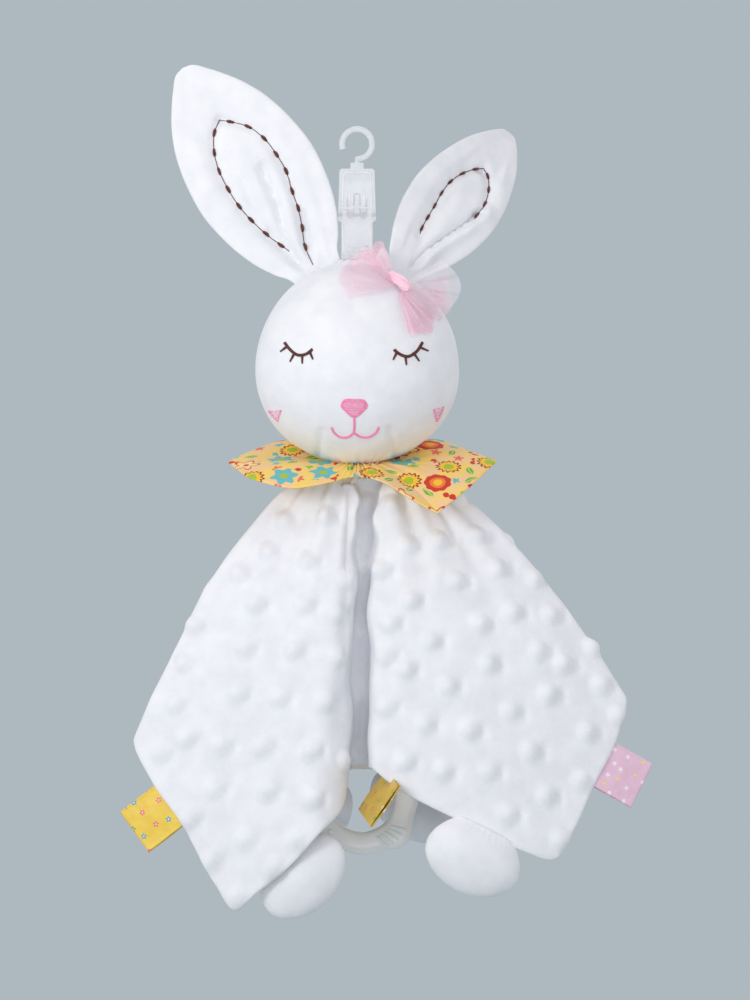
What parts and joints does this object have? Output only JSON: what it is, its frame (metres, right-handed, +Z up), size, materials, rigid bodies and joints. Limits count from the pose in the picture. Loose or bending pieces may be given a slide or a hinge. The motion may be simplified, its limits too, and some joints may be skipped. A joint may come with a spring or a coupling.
{
  "type": "comfort blanket",
  "caption": "Rabbit-headed comfort blanket hanging by its crown from a clear spring clip, with a ruffled bow, collar, ribbon tags, stuffed paws and a silicone teether.",
  "frame": {"origin": "inside top of the clip's hook, where a display rail bears", "axes": "+Z up along the hanging toy, -Y out of the face, +X to the right of somebody looking at the face"},
  "size_m": [0.2627, 0.1284, 0.4259],
  "materials": {
    "white_plush": "soft short pile",
    "white_minky": "soft dotted pile",
    "white_lining": "soft short pile",
    "polyester_filling": "loose fibre",
    "brown_thread": "satin thread",
    "pink_thread": "satin thread",
    "pink_tulle": "sheer net",
    "floral_cotton": "printed cotton",
    "yellow_ribbon": "satin ribbon",
    "pink_ribbon": "satin ribbon",
    "mustard_ribbon": "satin ribbon",
    "clear_plastic": "clear, glossy",
    "steel": "bright wire",
    "milky_silicone": "milky, smooth"
  },
  "bodies": {
    "hanger": {"clip_front_jaw": "clear_plastic", "clip_pin": "steel", "clip_spring": "steel"},
    "clip_jaw": {"clip_back_jaw": "clear_plastic"},
    "lovey": {"head_cover": "white_plush", "head_filling": "polyester_filling", "crown_tuck": "white_plush", "left_eye_stitch": "brown_thread", "right_eye_stitch": "brown_thread", "nose_patch": "pink_thread", "mouth_stitch": "pink_thread", "left_cheek_heart": "pink_thread", "right_cheek_heart": "pink_thread", "bow_left_wing": "pink_tulle", "bow_right_wing": "pink_tulle", "bow_tail": "pink_tulle", "bow_knot": "pink_tulle", "collar": "floral_cotton", "blanket_cover": "white_minky", "blanket_lining": "white_lining", "left_tag": "yellow_ribbon", "right_tag": "pink_ribbon", "centre_tag": "mustard_ribbon"},
    "left_ear": {"left_ear_cover": "white_plush", "left_ear_wadding": "polyester_filling", "left_ear_stitch": "brown_thread"},
    "right_ear": {"right_ear_cover": "white_plush", "right_ear_wadding": "polyester_filling", "right_ear_stitch": "brown_thread"},
    "front_left_paw": {"front_left_paw_cover": "white_plush", "front_left_paw_filling": "polyester_filling"},
    "front_right_paw": {"front_right_paw_cover": "white_plush", "front_right_paw_filling": "polyester_filling"},
    "back_left_paw": {"back_left_paw_cover": "white_plush", "back_left_paw_filling": "polyester_filling"},
    "back_right_paw": {"back_right_paw_cover": "white_plush", "back_right_paw_filling": "polyester_filling"},
    "teether_hang": {"teether_loop": "white_lining"},
    "teether": {"teether_ring": "milky_silicone"}
  },
  "joints": [
    {"name": "clip_jaw_hinge", "type": "hinge", "parent": "hanger", "child": "clip_jaw", "pos_m": [0, 0.0013, -0.0415], "axis": [1, 0, 0], "range_deg": [0, 16], "stiffness_Nm_per_rad": 0.15, "springref_deg": -34.38, "deforming": ["clip_spring"]},
    {"name": "lovey_release", "type": "slide", "parent": "hanger", "child": "lovey", "axis": [0, 0, -1], "range_m": [0, 0.03]},
    {"name": "left_ear_bend", "type": "hinge", "parent": "lovey", "child": "left_ear", "pos_m": [-0.0205, -0.001, -0.06815], "axis": [0.8329, 0, 0.5534], "range_deg": [-12, 28]},
    {"name": "right_ear_bend", "type": "hinge", "parent": "lovey", "child": "right_ear", "pos_m": [0.0223, 0.004, -0.06867], "axis": [0.7934, 0, -0.6088], "range_deg": [-12, 45]},
    {"name": "front_left_paw_bend", "type": "hinge", "parent": "lovey", "child": "front_left_paw", "pos_m": [-0.03699, -0.02458, -0.36083], "axis": [0.6944, 0, 0.7196], "range_deg": [0, 40]},
    {"name": "front_right_paw_bend", "type": "hinge", "parent": "lovey", "child": "front_right_paw", "pos_m": [0.06356, -0.03597, -0.34894], "axis": [0.8915, 0.0717, -0.4472], "range_deg": [-7, 12]},
    {"name": "back_left_paw_bend", "type": "hinge", "parent": "lovey", "child": "back_left_paw", "pos_m": [-0.03358, 0.02864, -0.33418], "axis": [-0.7031, 0, -0.7111], "range_deg": [0, 16]},
    {"name": "back_right_paw_bend", "type": "hinge", "parent": "lovey", "child": "back_right_paw", "pos_m": [0.03718, 0.02872, -0.32527], "axis": [-0.8221, 0, 0.5694], "range_deg": [0, 16]},
    {"name": "teether_sway", "type": "hinge", "parent": "lovey", "child": "teether_hang", "pos_m": [0.00255, 0.0025, -0.29948], "axis": [0, 1, 0], "range_deg": [-12, 12]},
    {"name": "teether_turn", "type": "hinge", "parent": "teether_hang", "child": "teether", "pos_m": [0.00255, 0.0085, -0.33348], "axis": [0, 1, 0], "continuous": true}
  ]
}
